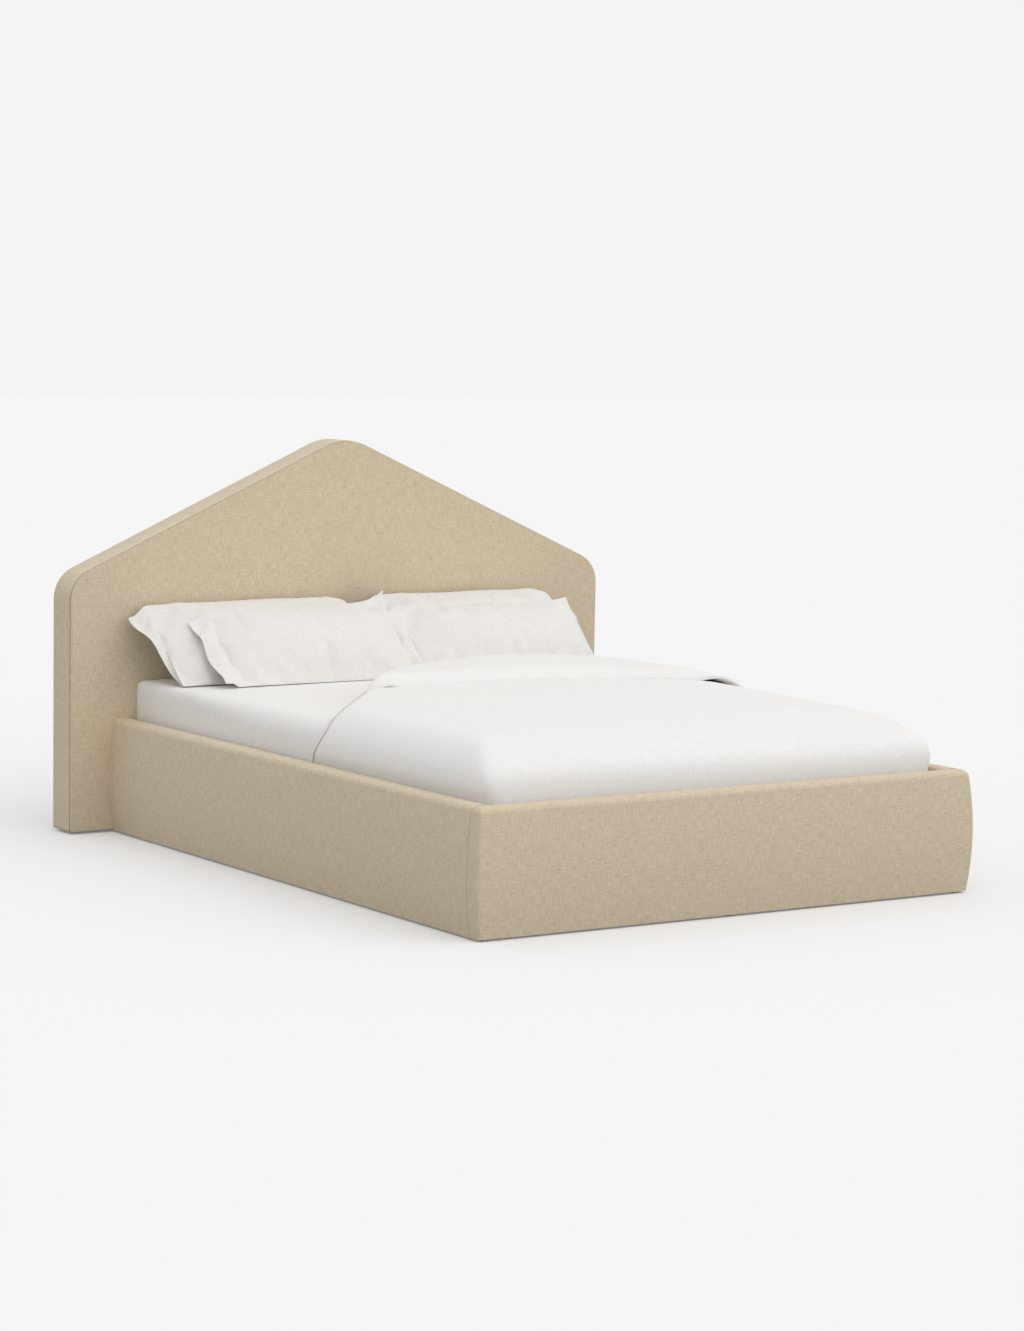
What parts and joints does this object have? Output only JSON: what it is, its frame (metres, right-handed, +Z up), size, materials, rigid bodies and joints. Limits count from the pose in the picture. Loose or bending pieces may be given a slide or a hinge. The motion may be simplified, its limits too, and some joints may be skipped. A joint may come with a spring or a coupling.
{
  "type": "upholstered headboard bed",
  "caption": "Queen-size bed with a padded gable-topped headboard, padded low rails and footboard, slatted base, mattress, fitted sheet, turned-down duvet and pillows.",
  "frame": {"origin": "on the floor, under the middle of the whole bed's box", "axes": "+X to the right seen from the foot, +Y from the footboard to the headboard (the bed's length), +Z up"},
  "size_m": [1.976, 2.282, 1.2228],
  "materials": {
    "linen_upholstery": "matte",
    "backing_cloth": "matte",
    "upholstery_foam": "matte",
    "wadding": "matte",
    "plywood": "matte",
    "frame_pine": "matte",
    "slat_birch": "satin",
    "leg_beech": "satin",
    "zinc_fasteners": "satin",
    "bracket_steel": "satin",
    "nylon": "satin",
    "webbing": "matte",
    "mattress_foam": "matte",
    "mattress_ticking": "matte",
    "sheet_linen": "matte",
    "duvet_linen": "matte",
    "pillow_linen": "matte"
  },
  "bodies": {
    "frame": {"beam_hangers": "bracket_steel", "bracket_bolts": "zinc_fasteners", "centre_beam": "frame_pine", "centre_leg_1": "leg_beech", "centre_leg_2": "leg_beech", "floor_glides": "nylon", "foot_brackets": "bracket_steel", "footboard_board": "frame_pine", "footboard_fabric": "linen_upholstery", "footboard_foam": "upholstery_foam", "frame_screws": "zinc_fasteners", "head_brackets": "bracket_steel", "headboard_back_cloth": "backing_cloth", "headboard_bottom_rail": "frame_pine", "headboard_boxing_band": "linen_upholstery", "headboard_centre_stile": "frame_pine", "headboard_edge_wadding": "wadding", "headboard_foam": "upholstery_foam", "headboard_front_fabric": "linen_upholstery", "headboard_gable_rail_left": "frame_pine", "headboard_gable_rail_right": "frame_pine", "headboard_plywood_panel": "plywood", "headboard_post_left": "frame_pine", "headboard_post_right": "frame_pine", "headboard_stile_left": "frame_pine", "headboard_stile_right": "frame_pine", "side_rail_board_left": "frame_pine", "side_rail_board_right": "frame_pine", "side_rail_fabric_left": "linen_upholstery", "side_rail_fabric_right": "linen_upholstery", "side_rail_foam_left": "upholstery_foam", "side_rail_foam_right": "upholstery_foam", "slat_01": "slat_birch", "slat_02": "slat_birch", "slat_03": "slat_birch", "slat_04": "slat_birch", "slat_05": "slat_birch", "slat_06": "slat_birch", "slat_07": "slat_birch", "slat_08": "slat_birch", "slat_09": "slat_birch", "slat_10": "slat_birch", "slat_11": "slat_birch", "slat_12": "slat_birch", "slat_ledger_left": "frame_pine", "slat_ledger_right": "frame_pine", "slat_screws": "zinc_fasteners", "slat_webbing": "webbing"},
    "mattress": {"mattress_support_core": "mattress_foam", "mattress_comfort_layer": "mattress_foam", "mattress_ticking": "mattress_ticking", "fitted_sheet": "sheet_linen"},
    "duvet": {"duvet": "duvet_linen"},
    "pillow_back_left": {"pillow_back_left": "pillow_linen"},
    "pillow_back_right": {"pillow_back_right": "pillow_linen"},
    "pillow_front_left": {"pillow_front_left": "pillow_linen"},
    "pillow_front_right": {"pillow_front_right": "pillow_linen"},
    "levelling_foot_1": {"levelling_foot_1": "nylon"},
    "levelling_foot_2": {"levelling_foot_2": "nylon"}
  },
  "joints": [
    {"name": "mattress_lift", "type": "slide", "parent": "frame", "child": "mattress", "axis": [0, 0, 1], "range_m": [0, 0.35]},
    {"name": "duvet_lift", "type": "slide", "parent": "mattress", "child": "duvet", "axis": [0, 0, 1], "range_m": [0, 0.3]},
    {"name": "pillow_back_left_lift", "type": "slide", "parent": "mattress", "child": "pillow_back_left", "axis": [0, 0, 1], "range_m": [0, 0.3]},
    {"name": "pillow_back_right_lift", "type": "slide", "parent": "mattress", "child": "pillow_back_right", "axis": [0, 0, 1], "range_m": [0, 0.3]},
    {"name": "pillow_front_left_lift", "type": "slide", "parent": "pillow_back_left", "child": "pillow_front_left", "axis": [0, -0.7314, 0.682], "range_m": [0, 0.25]},
    {"name": "pillow_front_right_lift", "type": "slide", "parent": "pillow_back_right", "child": "pillow_front_right", "axis": [0, -0.7314, 0.682], "range_m": [0, 0.25]},
    {"name": "levelling_foot_1_screw", "type": "slide", "parent": "frame", "child": "levelling_foot_1", "axis": [0, 0, -1], "range_m": [0, 0.012]},
    {"name": "levelling_foot_2_screw", "type": "slide", "parent": "frame", "child": "levelling_foot_2", "axis": [0, 0, -1], "range_m": [0, 0.012]}
  ]
}
